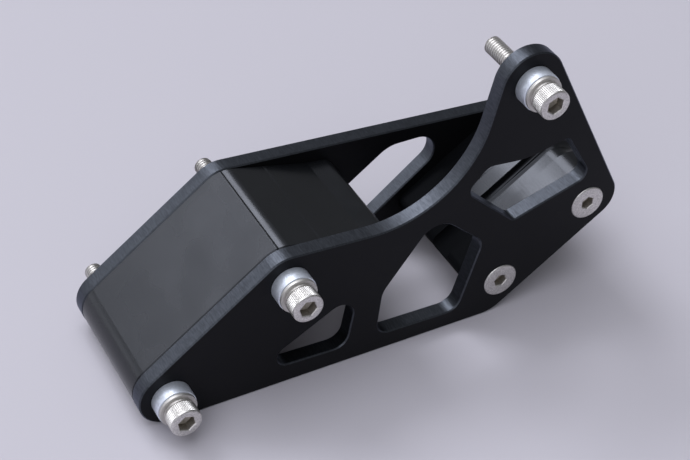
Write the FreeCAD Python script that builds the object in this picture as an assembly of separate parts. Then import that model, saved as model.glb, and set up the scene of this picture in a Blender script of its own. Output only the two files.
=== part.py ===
import FreeCAD, Part
import math
import os

# Motorcycle chain guard: two cut aluminium side plates bolted either side of a wear block and a chain slider.
# X runs along the guard from its mounting end to its tail, Z is up, and Y crosses it towards the motorcycle.
# The origin is on the lower mounting screw's axis, in the rear plate's outer face.
# Every outline is a path round a few circles, joined by their common tangents. All sizes are in millimetres.

# Side plates and the channel between them
PLATE_T = 5.5
CHANNEL_W = 41.0
EDGE_BREAK = 0.4
MOUNT_R = 10.1
UPPER_SCREW_X = 39.2
UPPER_SCREW_Z = 30.2
EAR_SCREW_X = 118.25
EAR_SCREW_Z = 78.95
EAR_R = 10.8
EAR_NECK = 12.65
SWEEP_BOTTOM_Z = 38.7
SWEEP_R = 37.1
HEEL_R = 12.0
TAIL_R = 8.9
TAIL_LENGTH = 2.2
REAR_TAIL_R = 7.4
REAR_TAIL_LENGTH = 3.8

# Row of countersunk screws that holds the chain slider, and the plates' edge below it.
# Tail lengths count from the high screw to the tail round's centre.
SLIDER_SCREW_X = 115.5
SLIDER_SCREW_Z = 2.6
SLIDER_SCREW_SPACING = 37.5
SLIDER_ANGLE = 35.3
SLIDER_EDGE_DEPTH = 9.1

# Windows, as circles (x, z, radius) that the outline goes round anticlockwise.
# The ear window's lower corners are given along the slider and its upper corners from the ear screw.
TRIANGLE_WINDOW = [(39.3, 0.8, 3.7), (55.1, 1.5, 5.0), (56.6, 9.4, 4.8)]
TALL_WINDOW_LOW = [(75.1, 1.0, 4.6), (95.7, 1.1, 5.2)]
TALL_WINDOW_HIGH = [(101.1, 20.3, 5.2), (90.3, 27.1, 7.4), (80.3, 10.7, 8.9)]
BLADE_WINDOW_LOW = [(74.7, 0.4, 4.0), (83.7, 4.4, 8.0)]
BLADE_WINDOW_HIGH = [(109.6, 23.6, 6.4), (102.0, 19.6, 10.4), (74.6, 6.6, 4.2)]
EAR_WINDOW_NEAR_CORNER = (17.12, 19.86, 1.5)
EAR_WINDOW_SAG = (6.95, -38.13, -56.9)
EAR_WINDOW_FAR_CORNER = (40.37, 14.79, 3.7)
EAR_WINDOW_UPPER = [(15.65, -26.75, 1.5), (-10.45, -31.65, 4.3), (-14.55, -34.65, 3.2)]
EAR_WINDOW_GAP = 28.3

# Wear block on the two long screws. The top facet's corner is given from the upper screw, and the shoulder
# and tip from the nose's top.
BLOCK_RECESS = 0.1
BLOCK_BACK = 9.8
BLOCK_UNDERSIDE_Z = 18.5
BLOCK_HOLLOW_R = 8.0
NOSE_TOP_X = 73.7
NOSE_TOP_Z = 30.1
NOSE_TOP_R = 3.0
NOSE_TIP = (6.9, -9.6, 2.0)
NOSE_SHOULDER = (-5.8, 3.6, 0.0)
TOP_FACET = (13.8, 7.15, 0.0)
SLEEVE_R = 4.5

# Chain slider, along the row of countersunk screws. Its grooves bend down round the tail's lead-out by
# GROOVE_BEND degrees, then run straight out of the tail.
SLIDER_RECESS = 0.3
SLIDER_TOP = 10.35
SLIDER_START = 8.8
SLIDER_CORNER_R = 4.5
SLIDER_LEAD_IN_R = 3.0
SLIDER_TAIL_LEAD_R = 9.5
SLIDER_TAIL_LENGTH = 1.0
GROOVE_BEND = 60.0
GROOVE_RUN_OUT = 19.0
CHAIN_W = 24.2
RIB_W = 5.8
GROOVE_DEPTH = 3.0
RIB_FOOT_R = 2.7
INSERT_R = 4.2
INSERT_LENGTH = 12.7
INSERT_BORE_GAP = 0.02

# M6 screws, washers and spacers
SCREW_R = 3.0
SCREW_POINT = 0.9
LONG_SCREW = 70.0
EAR_SCREW_LENGTH = 30.0
HEAD_R = 5.0
HEAD_H = 6.0
HEAD_RIM = 0.35
HEAD_SOCKET = 5.0
HEAD_SOCKET_DEPTH = 3.0
CSK_HEAD_R = 6.0
CSK_SINK = 0.15
CSK_SCREW_LENGTH = 16.0
CSK_SOCKET = 4.0
CSK_SOCKET_DEPTH = 2.3
WASHER_R = 6.0
WASHER_T = 1.2
SPACER_R = 6.3
SPACER_H = 5.0
HOLE_GAP = 0.3
BORE_GAP = 0.2

# Where the faces lie across the guard
REAR_FACE = 0.0
REAR_INNER = REAR_FACE - PLATE_T
FRONT_INNER = REAR_INNER - CHANNEL_W
FRONT_FACE = FRONT_INNER - PLATE_T
CHAIN_LINE = (REAR_INNER + FRONT_INNER) / 2
WASHER_FACE = FRONT_FACE - SPACER_H - WASHER_T

LOWER_SCREW = (0.0, 0.0)
UPPER_SCREW = (UPPER_SCREW_X, UPPER_SCREW_Z)
EAR_SCREW = (EAR_SCREW_X, EAR_SCREW_Z)
ACROSS = FreeCAD.Vector(0, 1, 0)


def along_slider(u, v):
    """Point u along the row of slider screws from the first, and v above it, as (x, z)."""
    slope = math.radians(SLIDER_ANGLE)
    x = SLIDER_SCREW_X + u * math.cos(slope) - v * math.sin(slope)
    z = SLIDER_SCREW_Z + u * math.sin(slope) + v * math.cos(slope)
    return x, z


def slider_round(u, v, r):
    """Circle of an outline, given along the slider."""
    x, z = along_slider(u, v)
    return x, z, r


def beside(point, offset):
    """Circle of an outline, given from a point."""
    return point[0] + offset[0], point[1] + offset[1], offset[2]


SLIDER_SCREWS = {"low": along_slider(0, 0), "high": along_slider(SLIDER_SCREW_SPACING, 0)}
TAIL_REACH = SLIDER_SCREW_SPACING + TAIL_LENGTH
REAR_TAIL_REACH = SLIDER_SCREW_SPACING + REAR_TAIL_LENGTH


def across(y):
    """Places an outline's (x, z) in the plane at y."""
    return lambda x, z: FreeCAD.Vector(x, y, z)


def tangent(first, second):
    """The line from one circle to the next, with each circle of positive radius on its left."""
    dx = second[0] - first[0]
    dz = second[1] - first[1]
    distance = math.hypot(dx, dz)
    sine = (second[2] - first[2]) / distance
    cosine = math.sqrt(1 - sine * sine)
    nx = (-dz * cosine + dx * sine) / distance
    nz = (dx * cosine + dz * sine) / distance
    start = (first[0] - first[2] * nx, first[1] - first[2] * nz)
    end = (second[0] - second[2] * nx, second[1] - second[2] * nz)
    return start, end


def arc_middle(circle, start, end):
    """Middle of the arc that leaves start and reaches end, anticlockwise if the radius is positive."""
    x, z, r = circle
    begin = math.atan2(start[1] - z, start[0] - x)
    sweep = math.atan2(end[1] - z, end[0] - x) - begin
    turn = sweep % (2 * math.pi)
    if r < 0:
        turn = -(-sweep % (2 * math.pi))
    middle = begin + turn / 2
    return x + abs(r) * math.cos(middle), z + abs(r) * math.sin(middle)


def outline(circles, place):
    """Closed wire round the circles in order. A negative radius is a hollow, and zero a sharp corner."""
    lines = [tangent(a, b) for a, b in zip(circles, circles[1:] + circles[:1])]
    edges = []
    for i, circle in enumerate(circles):
        arrive = lines[i - 1][1]
        leave = lines[i][0]
        if circle[2] != 0:
            middle = arc_middle(circle, arrive, leave)
            edges.append(Part.Arc(place(*arrive), place(*middle), place(*leave)).toShape())
        edges.append(Part.LineSegment(place(*leave), place(*lines[i][1])).toShape())
    return Part.Wire(edges)


def slab(circles, near, far):
    """Solid of an outline between two planes across the guard."""
    face = Part.Face(outline(circles, across(near)))
    return face.extrude(FreeCAD.Vector(0, far - near, 0))


def rod(r, point, near, far):
    """Cylinder along Y at an (x, z) point, from near to far."""
    base = FreeCAD.Vector(point[0], near, point[1])
    return Part.makeCylinder(r, far - near, base, ACROSS)


def turned(profile, point, face, way):
    """Solid turned about Y from (radius, depth) points, with depth counted from face along way."""
    points = [FreeCAD.Vector(point[0] + r, face + way * depth, point[1]) for r, depth in profile]
    wire = Part.makePolygon(points + points[:1])
    axis = FreeCAD.Vector(point[0], face, point[1])
    return Part.Face(wire).revolve(axis, ACROSS, 360)


def washer(point):
    """Flat washer between the screw's head and the spacer."""
    bore = SCREW_R + BORE_GAP
    profile = [(bore, 0), (WASHER_R, 0), (WASHER_R, WASHER_T), (bore, WASHER_T)]
    return turned(profile, point, FRONT_FACE - SPACER_H, -1)


def spacer(point):
    """Spacer on the front plate."""
    bore = SCREW_R + BORE_GAP
    profile = [(bore, 0), (SPACER_R, 0), (SPACER_R, SPACER_H), (bore, SPACER_H)]
    return turned(profile, point, FRONT_FACE, -1)


def hex_socket(width, depth, point, face, way):
    """Hexagon socket cut, with two of its flats level."""
    corner = width / 2 / math.cos(math.radians(30))
    points = []
    for i in range(6):
        angle = math.radians(60 * i)
        x = point[0] + corner * math.cos(angle)
        z = point[1] + corner * math.sin(angle)
        points.append(FreeCAD.Vector(x, face, z))
    hexagon = Part.Face(Part.makePolygon(points + points[:1]))
    return hexagon.extrude(FreeCAD.Vector(0, way * depth, 0))


def rims(shape, *levels):
    """Edges of a shape that lie in the planes across the guard, without the round holes."""
    found = []
    for edge in shape.Edges:
        box = edge.BoundBox
        closed = len(edge.Vertexes) == 1
        if box.YLength < 1e-6 and not closed and any(abs(box.YMin - y) < 1e-6 for y in levels):
            found.append(edge)
    return found


def sweep():
    """Hollow of the front plate's top edge, beside the ear's neck and above its own lowest point."""
    return EAR_SCREW_X - EAR_NECK - SWEEP_R, SWEEP_BOTTOM_Z + SWEEP_R, -SWEEP_R


def heel_round():
    """Round that joins the plates' base edge to the edge under the slider."""
    slope = math.radians(SLIDER_ANGLE)
    z = HEEL_R - MOUNT_R
    v = HEEL_R - SLIDER_EDGE_DEPTH
    x = SLIDER_SCREW_X + ((z - SLIDER_SCREW_Z) * math.cos(slope) - v) / math.sin(slope)
    return x, z, HEEL_R


def ear_window():
    """Window between the ear and the slider, with its upper side curved round the ear screw."""
    lower = [EAR_WINDOW_NEAR_CORNER, EAR_WINDOW_SAG, EAR_WINDOW_FAR_CORNER]
    upper = [beside(EAR_SCREW, corner) for corner in EAR_WINDOW_UPPER]
    crown = (EAR_SCREW_X, EAR_SCREW_Z, -EAR_WINDOW_GAP)
    return [slider_round(*corner) for corner in lower] + upper[:1] + [crown] + upper[1:]


def countersink(point, face, way):
    """Cone that seats a countersunk head CSK_SINK below the plate's face, with the screw's hole."""
    mouth = CSK_HEAD_R + CSK_SINK
    hole = SCREW_R + HOLE_GAP
    cone = [(0, 0), (mouth, 0), (hole, mouth - hole), (hole, PLATE_T), (0, PLATE_T)]
    return turned(cone, point, face, way)


def plate(near, far, outer, windows, holes, sink_face, way):
    """Side plate with its windows, screw holes and countersinks, its long edges broken by a small chamfer."""
    body = slab(outer, near, far)
    for window in windows:
        body = body.cut(slab(window, near, far))
    body = body.makeChamfer(EDGE_BREAK, rims(body, near, far))
    for point in holes:
        body = body.cut(rod(SCREW_R + HOLE_GAP, point, near, far))
    for point in SLIDER_SCREWS.values():
        body = body.cut(countersink(point, sink_face, way))
    return body


def front_plate():
    outer = [(*LOWER_SCREW, MOUNT_R), heel_round()]
    outer.append(slider_round(TAIL_REACH, TAIL_R - SLIDER_EDGE_DEPTH, TAIL_R))
    outer.append((*EAR_SCREW, EAR_R))
    outer.append(sweep())
    outer.append((*UPPER_SCREW, MOUNT_R))
    windows = [TRIANGLE_WINDOW, TALL_WINDOW_LOW + TALL_WINDOW_HIGH, ear_window()]
    holes = [LOWER_SCREW, UPPER_SCREW, EAR_SCREW]
    return plate(FRONT_FACE, FRONT_INNER, outer, windows, holes, FRONT_FACE, 1)


def rear_plate():
    outer = [(*LOWER_SCREW, MOUNT_R), heel_round()]
    outer.append(slider_round(REAR_TAIL_REACH, REAR_TAIL_R - SLIDER_EDGE_DEPTH, REAR_TAIL_R))
    outer.append((*UPPER_SCREW, MOUNT_R))
    windows = [TRIANGLE_WINDOW, BLADE_WINDOW_LOW + BLADE_WINDOW_HIGH]
    holes = [LOWER_SCREW, UPPER_SCREW]
    return plate(REAR_INNER, REAR_FACE, outer, windows, holes, REAR_FACE, -1)


def block_hollow():
    """Hollow round in the block's underside, between the arm along the slope and the nose."""
    slope = math.atan2(UPPER_SCREW_Z, UPPER_SCREW_X)
    z = BLOCK_UNDERSIDE_Z - BLOCK_HOLLOW_R
    x = (BLOCK_BACK + BLOCK_HOLLOW_R + z * math.cos(slope)) / math.sin(slope)
    return x, z, -BLOCK_HOLLOW_R


def wear_block():
    """Bent block under both long screws, just inside the plates' edges, bored for its sleeves."""
    side = MOUNT_R - BLOCK_RECESS
    nose = (NOSE_TOP_X, NOSE_TOP_Z, NOSE_TOP_R)
    profile = [(*LOWER_SCREW, side), block_hollow(), beside(nose, NOSE_TIP), nose]
    profile += [beside(nose, NOSE_SHOULDER), beside(UPPER_SCREW, TOP_FACET), (*UPPER_SCREW, side)]
    body = slab(profile, FRONT_INNER, REAR_INNER)
    body = body.makeChamfer(EDGE_BREAK, rims(body, FRONT_INNER, REAR_INNER))
    for point in (LOWER_SCREW, UPPER_SCREW):
        body = body.cut(rod(SLEEVE_R, point, FRONT_INNER, REAR_INNER))
    return body


def block_sleeve(point):
    """Steel tube that carries the long screw's load through the block."""
    tube = rod(SLEEVE_R, point, FRONT_INNER, REAR_INNER)
    return tube.cut(rod(SCREW_R + BORE_GAP, point, FRONT_INNER, REAR_INNER))


def slider_lead_out():
    """Round at the tail's end of the slider's top, as (along, above, radius)."""
    return SLIDER_SCREW_SPACING + SLIDER_TAIL_LENGTH, SLIDER_TOP - SLIDER_TAIL_LEAD_R, SLIDER_TAIL_LEAD_R


def link_groove(side):
    """Groove for one row of link plates beside the slider's rib. It bends down with the slider's lead-out."""
    inner = RIB_W / 2
    outer = CHAIN_W / 2
    floor = SLIDER_TOP - GROOVE_DEPTH
    clear = SLIDER_TOP + GROOVE_DEPTH
    section = [(outer, floor, 0.0), (outer, clear, 0.0), (inner, clear, 0.0)]
    section.append((inner + RIB_FOOT_R, floor + RIB_FOOT_R, RIB_FOOT_R))
    bend, height, _ = slider_lead_out()

    def place(w, v):
        x, z = along_slider(bend, v)
        return FreeCAD.Vector(x, CHAIN_LINE + side * w, z)

    section_face = Part.Face(outline(section, place))
    slope = math.radians(SLIDER_ANGLE)
    ahead = FreeCAD.Vector(math.cos(slope), 0, math.sin(slope))
    x, z = along_slider(bend, height)
    centre = FreeCAD.Vector(x, CHAIN_LINE, z)
    turn = FreeCAD.Rotation(ACROSS, GROOVE_BEND)
    straight = section_face.extrude(ahead * -(bend + SLIDER_START + SLIDER_CORNER_R))
    curve = section_face.revolve(centre, ACROSS, GROOVE_BEND)
    end_face = section_face.copy()
    end_face.rotate(centre, ACROSS, GROOVE_BEND)
    return straight, curve, end_face.extrude(turn.multVec(ahead) * GROOVE_RUN_OUT)


def chain_slider():
    """Bar between the plates. Its rib carries the rollers, and a groove each side clears the link plates."""
    low = SLIDER_RECESS - SLIDER_EDGE_DEPTH
    tail = TAIL_R - SLIDER_RECESS
    top = SLIDER_TOP
    profile = [slider_round(SLIDER_CORNER_R - SLIDER_START, low + SLIDER_CORNER_R, SLIDER_CORNER_R)]
    profile.append(slider_round(TAIL_REACH, low + tail, tail))
    profile.append(slider_round(*slider_lead_out()))
    profile.append(slider_round(SLIDER_LEAD_IN_R - SLIDER_START, top - SLIDER_LEAD_IN_R, SLIDER_LEAD_IN_R))
    body = slab(profile, FRONT_INNER, REAR_INNER)
    body = body.makeChamfer(EDGE_BREAK, rims(body, FRONT_INNER, REAR_INNER))
    for side in (-1, 1):
        for stretch in link_groove(side):
            body = body.cut(stretch)
    for point in SLIDER_SCREWS.values():
        body = body.cut(rod(INSERT_R, point, FRONT_INNER, FRONT_INNER + INSERT_LENGTH))
        body = body.cut(rod(INSERT_R, point, REAR_INNER - INSERT_LENGTH, REAR_INNER))
    return body


def threaded_insert(point, face, way):
    """Brass insert pressed into the slider's end."""
    bore = SCREW_R + INSERT_BORE_GAP
    tube = [(bore, 0), (INSERT_R, 0), (INSERT_R, INSERT_LENGTH), (bore, INSERT_LENGTH)]
    return turned(tube, point, face, way)


def cap_screw(point, length):
    """Cap head screw with its head on the washer's face and its threaded end towards +Y."""
    tip = HEAD_H + length
    profile = [(0, 0), (HEAD_R - HEAD_RIM, 0), (HEAD_R, HEAD_RIM), (HEAD_R, HEAD_H), (SCREW_R, HEAD_H)]
    profile += [(SCREW_R, tip - SCREW_POINT), (SCREW_R - SCREW_POINT, tip), (0, tip)]
    top = WASHER_FACE - HEAD_H
    return turned(profile, point, top, 1).cut(hex_socket(HEAD_SOCKET, HEAD_SOCKET_DEPTH, point, top, 1))


def countersunk_screw(point, face, way):
    """Countersunk screw, its head just below the plate's face and its point in the slider's insert."""
    profile = [(0, 0), (CSK_HEAD_R, 0), (SCREW_R, CSK_HEAD_R - SCREW_R)]
    profile += [(SCREW_R, CSK_SCREW_LENGTH), (0, CSK_SCREW_LENGTH)]
    top = face + way * CSK_SINK
    return turned(profile, point, top, way).cut(hex_socket(CSK_SOCKET, CSK_SOCKET_DEPTH, point, top, way))


def mounting_hardware(nodes):
    """Screw, washer and spacer at each of the three mounting points."""
    places = {"lower": (LOWER_SCREW, LONG_SCREW), "upper": (UPPER_SCREW, LONG_SCREW)}
    places["ear"] = (EAR_SCREW, EAR_SCREW_LENGTH)
    for name, (point, length) in places.items():
        nodes[name + "_cap_screw"] = cap_screw(point, length)
        nodes[name + "_washer"] = washer(point)
        nodes[name + "_spacer"] = spacer(point)


def slider_hardware(nodes):
    """Countersunk screws and inserts at both ends of the slider."""
    for name, point in SLIDER_SCREWS.items():
        nodes["front_" + name + "_countersunk_screw"] = countersunk_screw(point, FRONT_FACE, 1)
        nodes["rear_" + name + "_countersunk_screw"] = countersunk_screw(point, REAR_FACE, -1)
        nodes["front_" + name + "_insert"] = threaded_insert(point, FRONT_INNER, 1)
        nodes["rear_" + name + "_insert"] = threaded_insert(point, REAR_INNER, -1)


def build():
    nodes = {"front_plate": front_plate(), "rear_plate": rear_plate()}
    nodes["wear_block"] = wear_block()
    nodes["lower_block_sleeve"] = block_sleeve(LOWER_SCREW)
    nodes["upper_block_sleeve"] = block_sleeve(UPPER_SCREW)
    nodes["chain_slider"] = chain_slider()
    mounting_hardware(nodes)
    slider_hardware(nodes)
    return nodes


os.makedirs("parts", exist_ok=True)
for node, shape in build().items():
    shape.exportStep("parts/" + node + ".step")
    print(node, shape.isValid(), len(shape.Solids), round(shape.Volume, 1), len(shape.Faces))
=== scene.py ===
import math

import bmesh
import bpy
from mathutils import Matrix, Vector


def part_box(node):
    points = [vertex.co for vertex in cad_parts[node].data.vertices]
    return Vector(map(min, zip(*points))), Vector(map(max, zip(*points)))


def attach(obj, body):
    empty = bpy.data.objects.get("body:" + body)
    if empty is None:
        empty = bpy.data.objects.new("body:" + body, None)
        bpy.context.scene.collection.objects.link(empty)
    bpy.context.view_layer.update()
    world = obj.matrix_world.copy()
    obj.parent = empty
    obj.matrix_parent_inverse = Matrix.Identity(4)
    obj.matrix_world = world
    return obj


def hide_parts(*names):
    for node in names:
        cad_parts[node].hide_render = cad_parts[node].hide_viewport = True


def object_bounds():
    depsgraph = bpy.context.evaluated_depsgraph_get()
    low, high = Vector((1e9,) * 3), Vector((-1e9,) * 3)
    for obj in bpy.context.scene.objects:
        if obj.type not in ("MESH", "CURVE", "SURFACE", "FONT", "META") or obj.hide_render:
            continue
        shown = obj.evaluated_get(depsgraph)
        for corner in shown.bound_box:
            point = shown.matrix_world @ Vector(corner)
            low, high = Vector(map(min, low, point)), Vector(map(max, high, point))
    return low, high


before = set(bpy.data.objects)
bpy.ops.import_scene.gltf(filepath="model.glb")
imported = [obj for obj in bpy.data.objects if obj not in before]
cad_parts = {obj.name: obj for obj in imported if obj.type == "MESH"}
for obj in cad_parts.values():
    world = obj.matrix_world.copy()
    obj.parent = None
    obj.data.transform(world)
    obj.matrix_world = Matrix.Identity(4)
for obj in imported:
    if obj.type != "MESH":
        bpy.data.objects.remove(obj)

# Looks of a motorcycle chain guard: black anodised side plates either side of a black wear block and chain
# slider, held by stainless screws with washers and zinc plated spacers. Sizes are in metres, unless a comment
# says otherwise.

bl_info = {
    "name": "Chain Guard Finishes",
    "version": (1, 0, 0),
    "blender": (4, 5, 0),
    "location": "View3D > Sidebar > Chain Guard",
    "description": "Dresses a chain guard's plates and block, and builds its screws, washers and spacers",
    "category": "Object",
}

CAD_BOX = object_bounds()
MM = 0.001

CAP_SCREWS = ("lower_cap_screw", "upper_cap_screw", "ear_cap_screw")
FRONT_COUNTERSUNK = ("front_low_countersunk_screw", "front_high_countersunk_screw")
REAR_COUNTERSUNK = ("rear_low_countersunk_screw", "rear_high_countersunk_screw")
WASHERS = ("lower_washer", "upper_washer", "ear_washer")
SPACERS = ("lower_spacer", "upper_spacer", "ear_spacer")
INSERTS = ("front_low_insert", "front_high_insert", "rear_low_insert", "rear_high_insert")
SLEEVES = ("lower_block_sleeve", "upper_block_sleeve")

# The slider goes from rough to polished between the first two of these distances behind the origin, and
# duller again between the last two, down to the share of its gloss that comes next
SLIDER_POLISH = (118.0 * MM, 131.0 * MM, 137.0 * MM, 144.5 * MM)
SLIDER_TIP_GLOSS = 0.4

# The slider's edges this close to the plates stay sharp
SLIDER_END_MARGIN = 0.1 * MM

# Relief across the wear block, one over the other: where it starts and ends behind the origin, its height,
# and whether it rises in a curve
BLOCK_RELIEF = (
    # The slope runs on over the bend, drops from a small ridge there and levels out
    (33.1 * MM, 37.4 * MM, 1.0 * MM, True),
    (37.7 * MM, 38.1 * MM, -0.16 * MM, False),
    (41.4 * MM, 38.15 * MM, -0.6 * MM, False),
    (41.4 * MM, 38.15 * MM, -0.2 * MM, True),
    # A fine line crosses the top
    (52.1 * MM, 52.9 * MM, 0.18 * MM, False),
    # A shallow band lies at the end
    (67.9 * MM, 77.0 * MM, 1.1 * MM, False),
)

# Cap head, in millimetres: points in from its side and down from its face, round its rim. Those of the groove
# under its knurl are down from the top of the band there, and those of its foot down from its underside.
CAP_RIM = ((0.62, 0.0), (0.34, 0.06), (0.12, 0.24), (0.04, 0.5), (0.04, 0.62), (0.0, 0.72))
CAP_GROOVE = ((0.0, -0.42), (0.12, -0.3), (0.42, -0.2), (0.42, 0.0), (0.08, 0.08), (0.03, 0.2))
CAP_BAND_HEIGHT = 0.85 * MM
CAP_FOOT = ((0.03, -0.12), (0.15, 0.0))
KNURL_START = 0.7 * MM
KNURL_STOP = 0.4 * MM

# Countersunk head: points round its rim as shares of the rounding, in from its side and down from its face,
# and the length of plain shank under the head
COUNTERSUNK_RIM = ((1.0, 0.0), (0.62, 0.08), (0.29, 0.29), (0.08, 0.62), (0.0, 1.0))
COUNTERSUNK_PLAIN = 0.8 * MM

# Thread, in shares of its pitch: where the root's flat ends, and where the crest's flat starts and ends
ROOT_END = 0.12
CREST_START = 0.44
CREST_END = 0.7

# Turns that are built ahead of a thread's start and then cut off
SPARE_TURNS = 2

# Steps round each turned shape, for each tooth of a knurl, and round one turn of a thread
TURNED_STEPS = 96
STEPS_PER_TOOTH = 6
THREAD_STEPS = 48

# The turns of a thread meet within this distance
THREAD_SEAM = 0.005 * MM

# A socket's corners reach less than this many times as far out as its flats
CORNER_REACH = 1.16

# Points up to this far outside a socket's mouth are pressed out with it
SOCKET_MARGIN = 0.1 * MM

# Painted shade darkens the steel between these depths in a socket
RECESS_START = 0.5 * MM
RECESS_END = 5.0 * MM

# Two points closer than this are the same corner, and a point this near a circle lies on it
SAME_CORNER = 0.001 * MM
ON_CIRCLE = 0.01 * MM

# Edges that turn less than this look smooth
SMOOTH_ANGLE = math.radians(32.0)

# How squarely a plate's surface looks along Y: a cut edge below the first, and a face above the second
SQUARE_TO_Y = (0.93, 0.98)

# Reflections off the black surfaces are a little cooler than the light
BLACK_SHEEN = (0.87, 0.9, 1.0, 1.0)

# Lumps run from about 0.2 to 0.8, so the less of that a colour or roughness spans, the more contrast it has
WHOLE = (0.0, 1.0)
FAINT = (0.2, 0.8)
CLEAR = (0.3, 0.7)
STRONG = (0.35, 0.65)

# How far each screw was turned when it was done up, in degrees
SOCKET_TURN = {
    "lower_cap_screw": 20.0,
    "upper_cap_screw": 12.0,
    "ear_cap_screw": 35.0,
    "front_low_countersunk_screw": 10.0,
    "front_high_countersunk_screw": 28.0,
    "rear_low_countersunk_screw": 44.0,
    "rear_high_countersunk_screw": 5.0,
}


def linear(code):
    """Linear RGBA of an sRGB hex colour."""
    parts = [int(code[i:i + 2], 16) / 255 for i in (1, 3, 5)]
    return tuple(c / 12.92 if c <= 0.04045 else ((c + 0.055) / 1.055) ** 2.4 for c in parts) + (1.0,)


def length(name, about, default):
    """A size that a user may change."""
    return bpy.props.FloatProperty(name=name, description=about, default=default, min=0.0, precision=5,
                                   subtype="DISTANCE", unit="LENGTH")


def colour(name, about, code):
    """A colour that a user may change."""
    return bpy.props.FloatVectorProperty(name=name, description=about, default=linear(code)[:3], min=0.0,
                                         max=1.0, subtype="COLOR")


def power(name, about, default):
    """A lamp's power that a user may change."""
    return bpy.props.FloatProperty(name=name, description=about, default=default, min=0.0, unit="POWER")


def angle(name, about, degrees):
    """An angle that a user may change."""
    return bpy.props.FloatProperty(name=name, description=about, default=math.radians(degrees), min=0.0,
                                   subtype="ANGLE", unit="ROTATION")


class GuardFinishSettings(bpy.types.PropertyGroup):
    anodised: colour("Anodised black", "Dyed oxide layer on the side plates", "#0f0f11")
    cut_edge: colour("Cut edge", "Dark metal that shines through on the plates' cut edges", "#484b51")
    acetal: colour("Acetal black", "Plastic of the wear block and the chain slider", "#0f1012")
    zinc: colour("Zinc plate", "Clear passivated zinc on the spacers", "#e4eaf5")
    stainless: colour("Stainless steel", "Screws", "#dcd9d6")
    # Colour of the painted shade deep in the sockets, not a different steel
    socket_shade_colour: colour("Socket steel", "Unpolished steel deep in the sockets", "#a8a298")
    washer_steel: colour("Washer steel", "Punched stainless washers", "#d2cfcb")
    brass: colour("Brass", "Threaded inserts in the slider", "#c79a4b")
    cut_line_spacing: length("Cut line spacing", "Between the cutter's marks on the plates' edges", 0.4 * MM)
    grain: length("Surface grain", "Grain of the blasted plate faces", 0.25 * MM)


class GuardScrewSettings(bpy.types.PropertyGroup):
    shank_radius: length("Shank radius", "Plain part under the head", 3.0 * MM)
    crest_radius: length("Thread crest radius", "Outside of the thread", 2.95 * MM)
    root_radius: length("Thread root radius", "Bottom of the thread", 2.35 * MM)
    pitch: length("Thread pitch", "Distance between turns of the thread", 1.0 * MM)
    threaded: length("Threaded length", "Length of thread on the cap screws", 24.0 * MM)
    point: length("Point chamfer", "Chamfer at the thread's end", 0.9 * MM)
    head_height: length("Cap head height", "Height of the cylindrical head", 6.0 * MM)
    socket: length("Cap socket width", "Across the flats of the cap head's socket", 5.0 * MM)
    socket_depth: length("Cap socket depth", "Depth of the cap head's socket", 3.0 * MM)
    countersunk_socket: length("Countersunk socket width", "Across the flats", 4.0 * MM)
    countersunk_depth: length("Countersunk socket depth", "From the plate's face to its flat", 2.3 * MM)
    socket_chamfer: length("Socket chamfer", "Bright broken edge round each socket", 0.28 * MM)
    rim_round: length("Countersunk rim", "Rounding of the countersunk heads' rim", 0.55 * MM)
    proud: length("Countersunk height", "How far the countersunk heads stand out of the plates", 0.5 * MM)
    knurl_depth: length("Knurl depth", "Depth of the grooves round the cap head", 0.2 * MM)
    knurl_teeth: bpy.props.IntProperty(name="Knurl teeth", description="Ridges round the cap head",
                                       default=56, min=24, max=120)


class GuardRingSettings(bpy.types.PropertyGroup):
    bore_radius: length("Bore radius", "Hole in the washers and spacers", 3.2 * MM)
    washer_edge: length("Washer edge", "Rolled-over edge of the punched washers", 0.18 * MM)
    spacer_edge: length("Spacer edge", "Rounded edge of the turned spacers", 0.2 * MM)


class GuardSliderSettings(bpy.types.PropertyGroup):
    edge_round: length("Edge rounding", "Rounding that the slider's edges were given by hand", 0.6 * MM)
    lip_distance: length("Lip distance", "From the slider's middle to its sawn outer lip", 12.0 * MM)
    sawn_until: length("Sawn until", "The slider is sawn and dull up to here behind the origin", 117.0 * MM)
    flat_angle: angle("Flat angle", "Faces that turn less than this are one flat", 1.5)
    sharp_angle: angle("Sharp angle", "Edges that turn more than this are rounded", 40.0)


class GuardStageSettings(bpy.types.PropertyGroup):
    floor: colour("Floor", "Plain pale floor", "#c6c2ca")
    backdrop: colour("Backdrop", "What the camera sees above the floor", "#cfced8")
    light_tint: colour("Light tint", "Slightly cool daylight", "#f4f7ff")
    light_distance: length("Light distance", "From the guard to each soft box", 4.0)
    key_width: length("Key light width", "Soft box above and behind the guard", 2.02)
    key_height: length("Key light height", "Soft box above and behind the guard", 1.4)
    key_power: power("Key light power", "Soft box above and behind the guard", 62.0)
    side_width: length("Side light width", "Soft box below and left of the key light", 1.5)
    side_height: length("Side light height", "Soft box below and left of the key light", 0.8)
    side_power: power("Side light power", "Soft box below and left of the key light", 13.0)
    low_width: length("Low light width", "Low soft box at the mounting end", 2.4)
    low_height: length("Low light height", "Low soft box at the mounting end", 1.1)
    low_power: power("Low light power", "Low soft box at the mounting end", 9.5)
    top_size: length("Top light size", "Side of the square soft box overhead", 4.6)
    top_power: power("Top light power", "Soft box overhead", 100.0)
    fill_size: length("Fill light size", "Side of the square soft box at the front left", 3.0)
    fill_power: power("Fill light power", "Soft box at the front left", 42.0)
    ambient: bpy.props.FloatProperty(name="Ambient", description="Brightness of the room round the guard",
                                     default=0.2, min=0.0)


def settings(name):
    """One of the scene's groups of settings."""
    return getattr(bpy.context.scene, "guard_" + name)


# Materials

def add_node(tree, kind, inputs=None, **values):
    """Adds a shader node, gives it its settings, and sets or links each of its inputs."""
    node = tree.nodes.new(kind)
    for name, value in values.items():
        setattr(node, name, value)
    for name, value in (inputs or {}).items():
        if isinstance(value, bpy.types.NodeSocket):
            tree.links.new(value, node.inputs[name])
        else:
            node.inputs[name].default_value = value
    return node


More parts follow.
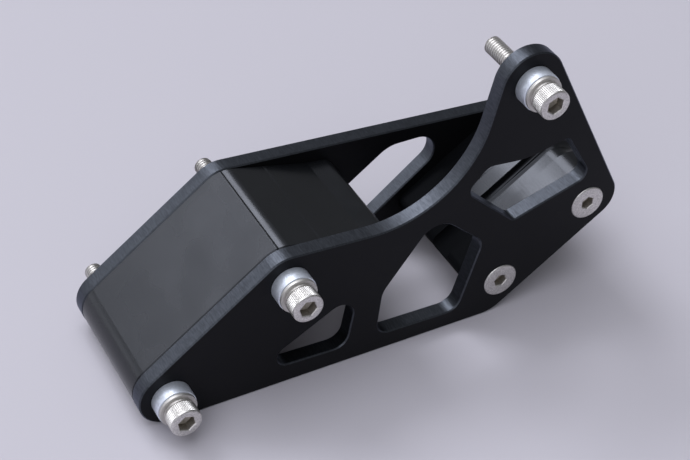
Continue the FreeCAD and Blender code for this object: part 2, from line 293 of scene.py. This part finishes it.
def new_material(name):
    """Empty material with its output. Returns the material, its node tree and the output."""
    material = bpy.data.materials.new(name)
    material.use_nodes = True
    tree = material.node_tree
    tree.nodes.clear()
    return material, tree, add_node(tree, "ShaderNodeOutputMaterial")


def tinted(rgb, factor):
    """A colour made lighter or darker."""
    return tuple(min(1.0, c * factor) for c in rgb) + (1.0,)


def lumps(tree, spacing, detail=2.0, roughness=0.5):
    """Cloudy pattern whose lumps are the given size along each axis, in metres."""
    place = add_node(tree, "ShaderNodeTexCoord").outputs["Object"]
    scale = tuple(1 / s for s in spacing)
    scaled = add_node(tree, "ShaderNodeMapping", {"Vector": place, "Scale": scale}).outputs["Vector"]
    pattern = add_node(tree, "ShaderNodeTexNoise",
                       {"Vector": scaled, "Scale": 1.0, "Detail": detail, "Roughness": roughness})
    return pattern.outputs["Fac"]


def mottled(tree, pattern, span, dark, light):
    """Colour that goes from dark to light as the pattern goes over the span."""
    low, high = span
    fac = add_node(tree, "ShaderNodeMapRange", {"Value": pattern, "From Min": low, "From Max": high})
    # Several sockets of this node share a name, so the colours go by number
    mix = add_node(tree, "ShaderNodeMix", {0: fac.outputs["Result"], 6: dark, 7: light}, data_type="RGBA")
    return mix.outputs[2]


def place_along(tree, start, end, first=0.0, last=1.0):
    """Goes from the first value to the last between two distances behind the origin."""
    point = add_node(tree, "ShaderNodeTexCoord").outputs["Object"]
    x = add_node(tree, "ShaderNodeSeparateXYZ", {"Vector": point}).outputs["X"]
    reach = {"Value": x, "From Min": start, "From Max": end, "To Min": first, "To Max": last}
    return add_node(tree, "ShaderNodeMapRange", reach).outputs["Result"]


def across_mask(tree):
    """1 on the cut edges that run across the guard, and 0 on faces that look along Y."""
    normal = add_node(tree, "ShaderNodeNewGeometry").outputs["Normal"]
    y = add_node(tree, "ShaderNodeSeparateXYZ", {"Vector": normal}).outputs["Y"]
    size = add_node(tree, "ShaderNodeMath", {0: y}, operation="ABSOLUTE").outputs["Value"]
    edge, face = SQUARE_TO_Y
    turned_away = {"Value": size, "From Min": edge, "From Max": face, "To Min": 1.0, "To Max": 0.0}
    return add_node(tree, "ShaderNodeMapRange", turned_away).outputs["Result"]


def set_surface(tree, output, pattern, span, roughness, reliefs, inputs):
    """Surface whose roughness follows a pattern, with reliefs one over another, each with its depth."""
    low, high = span
    first, last = roughness
    gloss = {"Value": pattern, "From Min": low, "From Max": high, "To Min": first, "To Max": last}
    inputs["Roughness"] = add_node(tree, "ShaderNodeMapRange", gloss).outputs["Result"]
    for height, depth in reliefs:
        relief = {"Height": height, "Distance": depth, "Strength": 1.0}
        if "Normal" in inputs:
            relief["Normal"] = inputs["Normal"]
        inputs["Normal"] = add_node(tree, "ShaderNodeBump", relief).outputs["Normal"]
    shader = add_node(tree, "ShaderNodeBsdfPrincipled", inputs)
    tree.links.new(shader.outputs["BSDF"], output.inputs["Surface"])


def anodised_aluminium():
    """Aluminium plate, cut out, blasted and anodised black: matte faces, and cutter marks on the edges."""
    finish = settings("finish")
    material, tree, output = new_material("black_anodised_aluminium")
    # The cut edges weren't blasted, so the metal under the thin dyed layer still shines through there. The
    # cutter's marks run across the edges, and are drawn coarser than real ones so that they show.
    edge = across_mask(tree)
    spacing = finish.cut_line_spacing
    marks = lumps(tree, (spacing, 6 * spacing, spacing), roughness=0.55)
    bands = lumps(tree, (7 * spacing, 20 * spacing, 7 * spacing), detail=1.0)
    patches = lumps(tree, (14 * MM, 9 * MM, 14 * MM))
    grain = lumps(tree, (finish.grain,) * 3)
    reliefs = []
    for pattern, depth in ((marks, 0.035 * MM), (bands, 0.08 * MM)):
        cut = add_node(tree, "ShaderNodeMath", {0: pattern, 1: edge}, operation="MULTIPLY")
        reliefs.append((cut.outputs["Value"], depth))
    reliefs.append((grain, 0.006 * MM))
    metal = mottled(tree, marks, STRONG, tinted(finish.cut_edge, 0.82), tinted(finish.cut_edge, 1.18))
    set_surface(tree, output, patches, FAINT, roughness=(0.37, 0.44), reliefs=reliefs, inputs={
        "Base Color": mottled(tree, edge, WHOLE, tinted(finish.anodised, 1.0), metal),
        "Metallic": edge,
        "Specular IOR Level": 0.14,
        "Specular Tint": BLACK_SHEEN,
    })
    return material


def block_reliefs(tree):
    """Reliefs of the block's bend, of the line across its top and of the band at its end."""
    reliefs = []
    for start, end, height, curved in BLOCK_RELIEF:
        rise = place_along(tree, start, end)
        if curved:
            rise = add_node(tree, "ShaderNodeMath", {0: rise, 1: rise}, operation="MULTIPLY").outputs["Value"]
        reliefs.append((rise, height))
    return reliefs


def milled_acetal(name, roughness, specular=0.5, ridge=False, polished=None):
    """Black acetal, milled: satin, with faint cloudy patches, and fine lines where the cutter turned.

    A sawn face scatters light instead of reflecting it, which its specular level stands for.
    """
    finish = settings("finish")
    material, tree, output = new_material(name)
    clouds = lumps(tree, (13 * MM, 16 * MM, 13 * MM), detail=1.5)
    swirl = lumps(tree, (0.5 * MM, 6 * MM, 0.5 * MM))
    reliefs = [(clouds, 0.05 * MM), (swirl, 0.004 * MM)]
    if ridge:
        reliefs += block_reliefs(tree)
    pattern = clouds
    span = FAINT
    if polished:
        start, end, worn, tip = polished
        dulled = place_along(tree, tip, worn, SLIDER_TIP_GLOSS, 1.0)
        shine = place_along(tree, start, end)
        gloss = add_node(tree, "ShaderNodeMath", {0: shine, 1: dulled}, operation="MULTIPLY")
        pattern = gloss.outputs["Value"]
        span = WHOLE
        roughness = tuple(reversed(roughness))
    set_surface(tree, output, pattern, span, roughness, reliefs, inputs={
        "Base Color": mottled(tree, clouds, WHOLE, tinted(finish.acetal, 0.8), tinted(finish.acetal, 1.25)),
        "Specular IOR Level": specular,
        "Specular Tint": BLACK_SHEEN,
    })
    return material


def zinc_plate():
    """Steel turned on a lathe and zinc plated with a clear passivate: bluish, cloudy and broadly shiny.

    The plating is dull between its crystals, so it is not quite a whole metal.
    """
    finish = settings("finish")
    material, tree, output = new_material("clear_zinc_plated_steel")
    clouds = lumps(tree, (1.6 * MM,) * 3, detail=3.0, roughness=0.6)
    turning = lumps(tree, (3 * MM, 0.12 * MM, 3 * MM), detail=1.0)
    reliefs = [(turning, 0.004 * MM)]
    set_surface(tree, output, clouds, CLEAR, roughness=(0.52, 0.44), reliefs=reliefs, inputs={
        "Base Color": mottled(tree, clouds, STRONG, tinted(finish.zinc, 0.84), tinted(finish.zinc, 1.05)),
        "Metallic": 0.7,
    })
    return material


def stainless_screw(name):
    """Stainless steel, cold headed and passivated: bright and speckled, with painted shade deep in the
    socket.
    """
    finish = settings("finish")
    material, tree, output = new_material(name)
    specks = lumps(tree, (0.45 * MM,) * 3, detail=3.0, roughness=0.65)
    deep = add_node(tree, "ShaderNodeAttribute", attribute_name="recess").outputs["Fac"]
    steel = mottled(tree, specks, STRONG, tinted(finish.stainless, 0.75), tinted(finish.stainless, 1.1))
    reliefs = [(specks, 0.005 * MM)]
    set_surface(tree, output, specks, CLEAR, roughness=(0.46, 0.38), reliefs=reliefs, inputs={
        # Painted shade deep in the socket
        "Base Color": mottled(tree, deep, WHOLE, steel, tinted(finish.socket_shade_colour, 1.0)),
        "Metallic": 1.0,
    })
    return material


def plain_metal(name, rgb, roughness):
    """Metal with a fine even grain, as punched from sheet, drawn or turned: an even, soft shine."""
    material, tree, output = new_material(name)
    grain = lumps(tree, (0.3 * MM,) * 3)
    set_surface(tree, output, grain, CLEAR, roughness, reliefs=[(grain, 0.006 * MM)], inputs={
        "Base Color": mottled(tree, grain, WHOLE, tinted(rgb, 0.82), tinted(rgb, 1.0)),
        "Metallic": 1.0,
    })
    return material


def painted_floor():
    """Plain board, painted matte: one even pale colour with no shine."""
    material, tree, output = new_material("plain_board")
    shader = add_node(tree, "ShaderNodeBsdfPrincipled",
                      {"Base Color": tinted(settings("stage").floor, 1.0), "Roughness": 0.6})
    tree.links.new(shader.outputs["BSDF"], output.inputs["Surface"])
    return material


# Mesh building

def turned(profile, steps, closed):
    """Spins (radius, y) points a full turn about Y into a shell. A closed profile makes a ring."""
    bm = bmesh.new()
    verts = [bm.verts.new((r, y, 0.0)) for r, y in profile]
    pairs = list(zip(verts, verts[1:]))
    if closed:
        pairs.append((verts[-1], verts[0]))
    edges = [bm.edges.new(pair) for pair in pairs]
    bmesh.ops.spin(bm, geom=verts + edges, cent=(0, 0, 0), axis=(0, 1, 0), angle=2 * math.pi, steps=steps,
                   use_merge=True, use_duplicate=False)
    bmesh.ops.remove_doubles(bm, verts=bm.verts[:], dist=SAME_CORNER)
    bmesh.ops.recalc_face_normals(bm, faces=bm.faces[:])
    return bm


def ring_edges(bm, radius, y):
    """Edges of the circle with this radius at this height."""
    def on_ring(vert):
        return abs(math.hypot(vert.co.x, vert.co.z) - radius) < ON_CIRCLE and abs(vert.co.y - y) < ON_CIRCLE
    return [edge for edge in bm.edges if all(on_ring(vert) for vert in edge.verts)]


def round_edges(bm, rings, size, segments):
    """Rounds whole circles of edges."""
    edges = [edge for radius, y in rings for edge in ring_edges(bm, radius, y)]
    bmesh.ops.bevel(bm, geom=edges, offset=size, segments=segments, profile=0.5, affect="EDGES", material=-1)


def hexagon_reach(bearing):
    """How much further a hexagon reaches than its inscribed circle, at a bearing from one of its corners."""
    return 1 / math.cos(bearing % (math.pi / 3) - math.pi / 6)


def press_socket(bm, reach):
    """Pushes the round socket inside this radius out to a hexagon."""
    for vert in bm.verts:
        radius = math.hypot(vert.co.x, vert.co.z)
        if 0 < radius < reach:
            scale = hexagon_reach(math.atan2(vert.co.z, vert.co.x))
            vert.co.x *= scale
            vert.co.z *= scale


def knurl(bm, radius, start, end, depth, teeth):
    """Presses grooves along the head's side between two heights."""
    for vert in bm.verts:
        if start < vert.co.y < end and abs(math.hypot(vert.co.x, vert.co.z) - radius) < ON_CIRCLE:
            wave = (0.5 - 0.5 * math.cos(teeth * math.atan2(vert.co.z, vert.co.x))) ** 2
            scale = 1 - depth * wave / radius
            vert.co.x *= scale
            vert.co.z *= scale


def thread(start, tip):
    """Shell of a right-hand screw thread from start to tip, with its point chamfered."""
    screw = settings("screw")
    pitch = screw.pitch
    turn = ((screw.root_radius, 0.0), (screw.root_radius, ROOT_END), (screw.crest_radius, CREST_START),
            (screw.crest_radius, CREST_END))
    count = math.ceil((tip - start) / pitch) + SPARE_TURNS + 1
    profile = [(r, start + (i - SPARE_TURNS + share) * pitch) for i in range(count) for r, share in turn]
    profile.append((screw.root_radius, start + (count - SPARE_TURNS) * pitch))
    bm = bmesh.new()
    verts = [bm.verts.new((r, y, 0.0)) for r, y in profile]
    edges = [bm.edges.new(pair) for pair in zip(verts, verts[1:])]
    bmesh.ops.spin(bm, geom=verts + edges, cent=(0, 0, 0), axis=(0, 1, 0),
                   dvec=(0, pitch / THREAD_STEPS, 0), angle=2 * math.pi, steps=THREAD_STEPS, use_merge=False,
                   use_duplicate=False)
    bmesh.ops.remove_doubles(bm, verts=bm.verts[:], dist=THREAD_SEAM)
    for level, way in ((start, -1), (tip, 1)):
        bmesh.ops.bisect_plane(bm, geom=bm.verts[:] + bm.edges[:] + bm.faces[:], plane_co=(0, level, 0),
                               plane_no=(0, way, 0), clear_outer=True)
    for vert in bm.verts:
        radius = math.hypot(vert.co.x, vert.co.z)
        limit = screw.crest_radius - screw.point + (tip - vert.co.y)
        if radius > limit:
            vert.co.x *= limit / radius
            vert.co.z *= limit / radius
    open_edges = [edge for edge in bm.edges if edge.is_boundary]
    bmesh.ops.holes_fill(bm, edges=open_edges, sides=0)
    bmesh.ops.recalc_face_normals(bm, faces=bm.faces[:])
    return bm


def mark_recess(mesh, reach):
    """Marks the corners of the mesh that lie deep in the socket, where the material paints shade."""
    layer = mesh.attributes.new("recess", "FLOAT", "POINT")
    for vert, value in zip(mesh.vertices, layer.data):
        inside = math.hypot(vert.co.x, vert.co.z) < reach and RECESS_START < vert.co.y < RECESS_END
        value.value = 1.0 if inside else 0.0


def merged(first, second):
    """Puts a second shell into the first's bmesh."""
    spare = bpy.data.meshes.new("spare")
    second.to_mesh(spare)
    second.free()
    first.from_mesh(spare)
    bpy.data.meshes.remove(spare)


def finished(bm, name, material):
    """Object from a bmesh, smooth but for its sharp edges, with its material, linked to the scene."""
    mesh = bpy.data.meshes.new(name)
    bm.to_mesh(mesh)
    bm.free()
    mesh.materials.append(material)
    mesh.shade_smooth()
    mesh.set_sharp_from_angle(angle=SMOOTH_ANGLE)
    piece = bpy.data.objects.new(name, mesh)
    bpy.context.scene.collection.objects.link(piece)
    return piece


def seat(piece, node):
    """Lets a finished piece ride in the place of its CAD node, and hides that node."""
    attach(piece, "root")
    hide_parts(node)


def dress(names, material):
    """Gives CAD nodes their material."""
    for name in names:
        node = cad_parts[name]
        if not node.material_slots:
            raise RuntimeError(name + " has no material slot")
        for slot in node.material_slots:
            slot.material = material


def turned_node(node):
    """Middle of a turned node in X and Z, its lowest and highest Y, and its radius."""
    low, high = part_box(node)
    return (low.x + high.x) / 2, (low.z + high.z) / 2, low.y, high.y, (high.x - low.x) / 2


def build_screw(node, profile, mouth, thread_start, material, steps=TURNED_STEPS, grooves=None, flip=False):
    """One screw from its head's profile, with its socket, knurl and thread, set where its node is."""
    x, z, near, far, radius = turned_node(node)
    reach = mouth + SOCKET_MARGIN
    bm = turned(profile, steps, False)
    press_socket(bm, reach)
    if grooves:
        knurl(bm, radius, *grooves)
    merged(bm, thread(thread_start, far - near))
    turn = Matrix.Rotation(math.radians(SOCKET_TURN[node]), 3, "Y")
    bmesh.ops.rotate(bm, verts=bm.verts[:], cent=(0, 0, 0), matrix=turn)
    piece = finished(bm, node + "_turned", material)
    mark_recess(piece.data, reach * CORNER_REACH)
    if flip:
        piece.data.transform(Matrix.Rotation(math.pi, 4, "Z"))
    piece.data.transform(Matrix.Translation((x, far if flip else near, z)))
    seat(piece, node)


def build_rings(nodes, ending, edge, segments, material):
    """Rings with a bore and a rounded outside, such as washers and spacers, set where their nodes are."""
    bore = settings("ring").bore_radius
    for node in nodes:
        x, z, near, far, outer = turned_node(node)
        tall = far - near
        bm = turned([(bore, 0.0), (outer, 0.0), (outer, tall), (bore, tall)], TURNED_STEPS, True)
        round_edges(bm, [(outer, 0.0), (outer, tall)], edge, segments)
        bmesh.ops.translate(bm, verts=bm.verts[:], vec=(x, near, z))
        seat(finished(bm, node + ending, material), node)


# Operators for the pieces

class GUARD_OT_plates(bpy.types.Operator):
    """Finish both side plates in black anodising"""
    bl_idname = "guard.plates"
    bl_label = "Side plates"

    def execute(self, context):
        dress(("front_plate", "rear_plate"), anodised_aluminium())
        return {"FINISHED"}


class GUARD_OT_wear_block(bpy.types.Operator):
    """Finish the wear block in milled black acetal"""
    bl_idname = "guard.wear_block"
    bl_label = "Wear block"

    def execute(self, context):
        dress(("wear_block",), milled_acetal("milled_black_acetal_block", roughness=(0.23, 0.32), ridge=True))
        return {"FINISHED"}


class GUARD_OT_slider(bpy.types.Operator):
    """Ease the chain slider's edges and finish it in smoother black acetal"""
    bl_idname = "guard.slider"
    bl_label = "Chain slider"

    def execute(self, context):
        slider = settings("slider")
        low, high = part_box("chain_slider")
        inner_low = low.y + SLIDER_END_MARGIN
        inner_high = high.y - SLIDER_END_MARGIN
        bm = bmesh.new()
        bm.from_mesh(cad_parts["chain_slider"].data)
        bmesh.ops.remove_doubles(bm, verts=bm.verts[:], dist=SAME_CORNER)
        bmesh.ops.dissolve_limit(bm, angle_limit=slider.flat_angle, verts=bm.verts[:], edges=bm.edges[:])
        sharp = [edge for edge in bm.edges if edge.is_manifold and edge.calc_face_angle() > slider.sharp_angle
                 and all(inner_low < vert.co.y < inner_high for vert in edge.verts)]
        bmesh.ops.bevel(bm, geom=sharp, offset=slider.edge_round, segments=4, profile=0.5, affect="EDGES",
                        clamp_overlap=True, material=-1)
        bmesh.ops.recalc_face_normals(bm, faces=bm.faces[:])
        bmesh.ops.bisect_plane(bm, geom=bm.verts[:] + bm.edges[:] + bm.faces[:], plane_no=(1, 0, 0),
                               plane_co=(slider.sawn_until, 0, 0))
        smooth = milled_acetal("milled_black_acetal_slider", roughness=(0.08, 0.42), specular=0.42,
                               polished=SLIDER_POLISH)
        eased = finished(bm, "chain_slider_eased", smooth)
        dull = milled_acetal("sawn_black_acetal", roughness=(0.35, 0.45), specular=0.015)
        eased.data.materials.append(dull)
        middle = (low.y + high.y) / 2
        for face in eased.data.polygons:
            if face.center.x < slider.sawn_until or face.center.y - middle > slider.lip_distance:
                face.material_index = 1
        eased.modifiers.new("even_flats", "WEIGHTED_NORMAL").keep_sharp = True
        seat(eased, "chain_slider")
        return {"FINISHED"}


class GUARD_OT_inner_pieces(bpy.types.Operator):
    """Finish the brass inserts and the steel sleeves that sit inside the block and slider"""
    bl_idname = "guard.inner_pieces"
    bl_label = "Inserts and sleeves"

    def execute(self, context):
        finish = settings("finish")
        dress(INSERTS, plain_metal("turned_brass", finish.brass, roughness=(0.25, 0.35)))
        dress(SLEEVES, plain_metal("drawn_steel_tube", finish.washer_steel, roughness=(0.35, 0.45)))
        return {"FINISHED"}


class GUARD_OT_cap_screws(bpy.types.Operator):
    """Build the three cap head screws with their knurled heads, sockets and threads"""
    bl_idname = "guard.cap_screws"
    bl_label = "Cap head screws"

    def execute(self, context):
        screw = settings("screw")
        material = stainless_screw("passivated_stainless_steel")
        flat = screw.socket / 2
        mouth = flat + screw.socket_chamfer
        base = screw.head_height
        ring = base - CAP_BAND_HEIGHT
        for node in CAP_SCREWS:
            near, far, head = turned_node(node)[2:]
            shank = far - near - base
            thread_start = base + max(shank - screw.threaded, screw.shank_radius)
            profile = [(0.0, screw.socket_depth + flat / 2), (flat, screw.socket_depth)]
            profile += [(flat, screw.socket_chamfer), (mouth, 0.0)]
            profile += [(head - inward * MM, down * MM) for inward, down in CAP_RIM]
            profile += [(head - inward * MM, ring + down * MM) for inward, down in CAP_GROOVE]
            profile += [(head - inward * MM, base + down * MM) for inward, down in CAP_FOOT]
            profile += [(screw.shank_radius, base), (screw.shank_radius, thread_start), (0.0, thread_start)]
            grooves = (KNURL_START, ring - KNURL_STOP, screw.knurl_depth, screw.knurl_teeth)
            build_screw(node, profile, mouth, thread_start, material,
                        steps=STEPS_PER_TOOTH * screw.knurl_teeth, grooves=grooves)
        return {"FINISHED"}


class GUARD_OT_countersunk_screws(bpy.types.Operator):
    """Build the four countersunk screws with their sockets and threads"""
    bl_idname = "guard.countersunk_screws"
    bl_label = "Countersunk screws"

    def execute(self, context):
        screw = settings("screw")
        material = stainless_screw("passivated_stainless_countersunk")
        flat = screw.countersunk_socket / 2
        mouth = flat + screw.socket_chamfer
        rim = screw.rim_round
        face = -screw.proud
        for node in FRONT_COUNTERSUNK + REAR_COUNTERSUNK:
            head = turned_node(node)[4]
            neck = head - screw.shank_radius
            plain = neck + COUNTERSUNK_PLAIN
            profile = [(0.0, screw.countersunk_depth + flat / 2), (flat, screw.countersunk_depth)]
            profile += [(flat, face + screw.socket_chamfer), (mouth, face)]
            profile += [(head - inward * rim, face + down * rim) for inward, down in COUNTERSUNK_RIM]
            profile += [(screw.shank_radius, neck), (screw.shank_radius, plain), (0.0, plain)]
            build_screw(node, profile, mouth, plain, material, flip=node in REAR_COUNTERSUNK)
        return {"FINISHED"}


class GUARD_OT_washers(bpy.types.Operator):
    """Build the three punched washers"""
    bl_idname = "guard.washers"
    bl_label = "Washers"

    def execute(self, context):
        steel = settings("finish").washer_steel
        material = plain_metal("punched_stainless_washer", steel, roughness=(0.58, 0.5))
        edge = settings("ring").washer_edge
        build_rings(WASHERS, "_punched", edge, segments=3, material=material)
        return {"FINISHED"}


class GUARD_OT_spacers(bpy.types.Operator):
    """Build the three zinc plated spacers"""
    bl_idname = "guard.spacers"
    bl_label = "Spacers"

    def execute(self, context):
        edge = settings("ring").spacer_edge
        build_rings(SPACERS, "_plated", edge, segments=4, material=zinc_plate())
        return {"FINISHED"}


# Stage

# Camera's place in the guard's frame, the directions that it looks along and holds up, and the length of its
# lens and the width of its sensor in millimetres
CAMERA_PLACE = Vector((-130.20, -379.56, 362.05)) * MM
CAMERA_FORWARD = Vector((0.37957, 0.66453, -0.64369))
CAMERA_UP = Vector((0.27476, 0.58340, 0.76430))
CAMERA_LENS = 87.46
CAMERA_SENSOR = 36.0
CAMERA_NEAR = 0.01
CAMERA_FAR = 50.0

# Where each soft box stands: degrees round from straight behind the guard, and degrees up
KEY_AIM = (-15.0, 49.75)
SIDE_AIM = (-39.0, 29.5)
LOW_AIM = (-52.0, 9.5)
TOP_AIM = (-70.0, 76.0)
FILL_AIM = (-135.0, 38.0)

FLOOR_REACH = 8.0
ROOM_TINT = (0.95, 0.97, 1.0, 1.0)


def add_camera():
    """Camera at the angle of the photograph."""
    data = bpy.data.cameras.new("camera")
    data.lens = CAMERA_LENS
    data.sensor_width = CAMERA_SENSOR
    data.clip_start = CAMERA_NEAR
    data.clip_end = CAMERA_FAR
    camera = bpy.data.objects.new("camera", data)
    right = CAMERA_FORWARD.cross(CAMERA_UP).normalized()
    up = right.cross(CAMERA_FORWARD).normalized()
    back = -CAMERA_FORWARD.normalized()
    turn = Matrix((right, up, back)).transposed()
    camera.matrix_world = Matrix.Translation(CAMERA_PLACE) @ turn.to_4x4()
    bpy.context.scene.collection.objects.link(camera)
    bpy.context.scene.camera = camera


def add_soft_box(name, aim, width, height, watts):
    """Rectangular area light that faces the guard, from degrees round from behind it and degrees up."""
    stage = settings("stage")
    round_from_back, up = (math.radians(degrees) for degrees in aim)
    level = math.cos(up)
    direction = Vector((level * math.sin(round_from_back), level * math.cos(round_from_back), math.sin(up)))
    data = bpy.data.lights.new(name, "AREA")
    data.shape = "RECTANGLE"
    data.size = width
    data.size_y = height
    data.energy = watts
    data.color = stage.light_tint
    lamp = bpy.data.objects.new(name, data)
    lamp.location = (CAD_BOX[0] + CAD_BOX[1]) / 2 + direction * stage.light_distance
    lamp.rotation_euler = direction.to_track_quat("Z", "Y").to_euler()
    lamp.visible_camera = False
    bpy.context.scene.collection.objects.link(lamp)


def set_world(stage):
    """Even room light, with the backdrop's colour where the camera looks past the floor."""
    world = bpy.data.worlds.new("room")
    world.use_nodes = True
    tree = world.node_tree
    tree.nodes.clear()
    seen = add_node(tree, "ShaderNodeLightPath").outputs["Is Camera Ray"]
    room = add_node(tree, "ShaderNodeBackground", {"Color": ROOM_TINT, "Strength": stage.ambient})
    backdrop = add_node(tree, "ShaderNodeBackground", {"Color": tinted(stage.backdrop, 1.0), "Strength": 1.0})
    mix = add_node(tree, "ShaderNodeMixShader",
                   {0: seen, 1: room.outputs["Background"], 2: backdrop.outputs["Background"]})
    add_node(tree, "ShaderNodeOutputWorld", {"Surface": mix.outputs["Shader"]})
    bpy.context.scene.world = world


class GUARD_OT_stage(bpy.types.Operator):
    """Build the plain floor, the soft light and the camera"""
    bl_idname = "guard.stage"
    bl_label = "Floor, light and camera"

    def execute(self, context):
        stage = settings("stage")
        bm = bmesh.new()
        bmesh.ops.create_grid(bm, x_segments=1, y_segments=1, size=FLOOR_REACH)
        bmesh.ops.translate(bm, verts=bm.verts[:], vec=(0, 0, CAD_BOX[0].z))
        floor = finished(bm, "floor", painted_floor())
        add_soft_box("key_soft_box", KEY_AIM, stage.key_width, stage.key_height, stage.key_power)
        add_soft_box("side_soft_box", SIDE_AIM, stage.side_width, stage.side_height, stage.side_power)
        add_soft_box("low_soft_box", LOW_AIM, stage.low_width, stage.low_height, stage.low_power)
        add_soft_box("top_soft_box", TOP_AIM, stage.top_size, stage.top_size, stage.top_power)
        add_soft_box("fill_soft_box", FILL_AIM, stage.fill_size, stage.fill_size, stage.fill_power)
        set_world(stage)
        add_camera()
        context.scene.view_settings.view_transform = "Standard"
        return {"FINISHED"}


# Add-on

GROUPS = {
    "finish": GuardFinishSettings,
    "screw": GuardScrewSettings,
    "ring": GuardRingSettings,
    "slider": GuardSliderSettings,
    "stage": GuardStageSettings,
}
STEPS = ("plates", "wear_block", "slider", "inner_pieces", "cap_screws", "countersunk_screws", "washers",
         "spacers", "stage")


class GUARD_PT_sidebar(bpy.types.Panel):
    """Sizes, colours and steps of the chain guard's finishes"""
    bl_idname = "GUARD_PT_sidebar"
    bl_label = "Chain guard"
    bl_space_type = "VIEW_3D"
    bl_region_type = "UI"
    bl_category = "Chain Guard"

    def draw(self, context):
        for name in GROUPS:
            box = self.layout.box()
            group = settings(name)
            for key in group.bl_rna.properties.keys():
                if key not in ("rna_type", "name"):
                    box.prop(group, key)
        for step in STEPS:
            self.layout.operator("guard." + step)


CLASSES = tuple(GROUPS.values()) + (
    GUARD_OT_plates,
    GUARD_OT_wear_block,
    GUARD_OT_slider,
    GUARD_OT_inner_pieces,
    GUARD_OT_cap_screws,
    GUARD_OT_countersunk_screws,
    GUARD_OT_washers,
    GUARD_OT_spacers,
    GUARD_OT_stage,
    GUARD_PT_sidebar,
)


def register():
    """Registers the classes and puts the groups of settings on the scene."""
    for item in CLASSES:
        bpy.utils.register_class(item)
    for name, group in GROUPS.items():
        setattr(bpy.types.Scene, "guard_" + name, bpy.props.PointerProperty(type=group))


def unregister():
    """Takes the groups of settings off the scene and unregisters the classes."""
    for name in GROUPS:
        delattr(bpy.types.Scene, "guard_" + name)
    for item in reversed(CLASSES):
        bpy.utils.unregister_class(item)


def main():
    """Builds every piece and the stage."""
    register()
    for step in STEPS:
        getattr(bpy.ops.guard, step)()


if __name__ == "__main__":
    main()
